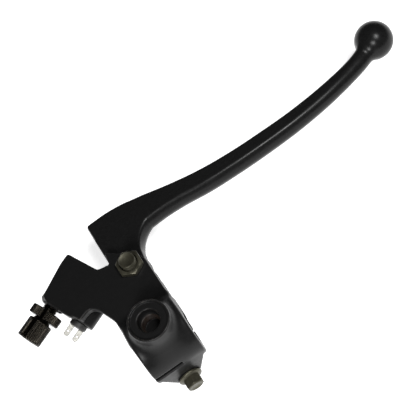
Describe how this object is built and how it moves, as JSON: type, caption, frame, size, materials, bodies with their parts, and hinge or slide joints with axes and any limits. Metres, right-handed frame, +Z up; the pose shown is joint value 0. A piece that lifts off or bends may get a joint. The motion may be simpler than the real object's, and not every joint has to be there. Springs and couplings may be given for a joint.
{
  "type": "motorcycle clutch lever assembly",
  "caption": "Handlebar clutch lever and its cast perch, with a ball-ended lever, cable adjuster, clutch switch and mirror boss.",
  "frame": {"origin": "on the handlebar's axis, at the middle of the clamp's width", "axes": "+X along the handlebar towards the lever's ball end, +Y ahead of the bar towards the lever's pivot, +Z up along the mirror boss"},
  "size_m": [0.24, 0.1027, 0.0472],
  "materials": {
    "cast_paint": "satin black paint on an aluminium casting",
    "lever_paint": "semi-gloss black paint on a forged aluminium lever",
    "olive_plated_steel": "olive-brown passivated zinc plating",
    "dark_plated_steel": "dark brown-black plating, knurled",
    "bronze": "plain bronze",
    "spring_steel": "bright spring steel",
    "black_moulding": "satin black moulded plastic",
    "tinned_brass": "tinned brass"
  },
  "bodies": {
    "perch": {"perch": "cast_paint", "pivot_bolt": "olive_plated_steel", "pivot_nut": "olive_plated_steel", "lever_washer": "spring_steel", "pinch_bolt": "olive_plated_steel", "switch_base": "black_moulding", "switch_case": "black_moulding", "terminal_front": "tinned_brass", "terminal_rear": "tinned_brass", "plunger_spring": "spring_steel"},
    "lever": {"lever": "lever_paint", "pivot_bush": "bronze"},
    "plunger": {"switch_plunger": "black_moulding", "contact_bridge": "bronze"},
    "lock_wheel": {"adjuster_lock_wheel": "dark_plated_steel"},
    "adjuster": {"adjuster_screw": "dark_plated_steel"}
  },
  "joints": [
    {"name": "lever_pivot", "type": "hinge", "parent": "perch", "child": "lever", "pos_m": [0.006, 0.035, 0], "axis": [0, 0, 1], "range_deg": [-16.5, 0]},
    {"name": "plunger_slide", "type": "slide", "parent": "perch", "child": "plunger", "axis": [0.9135, 0.4067, 0], "range_m": [0, 0.00199], "deforming": ["plunger_spring"]},
    {"name": "adjuster_travel", "type": "slide", "parent": "perch", "child": "lock_wheel", "axis": [-0.9135, -0.4067, 0], "range_m": [0, 0.005]},
    {"name": "adjuster_turn", "type": "hinge", "parent": "lock_wheel", "child": "adjuster", "pos_m": [-0.03832, 0.04599, 0.0015], "axis": [-0.9135, -0.4067, 0], "range_deg": [0, 1440]}
  ],
  "couplings": [
    {"joint": "plunger_slide", "follows": "lever_pivot", "m_per_rad": -0.0069},
    {"joint": "adjuster_travel", "follows": "adjuster_turn", "m_per_rad": 0.00019894}
  ]
}
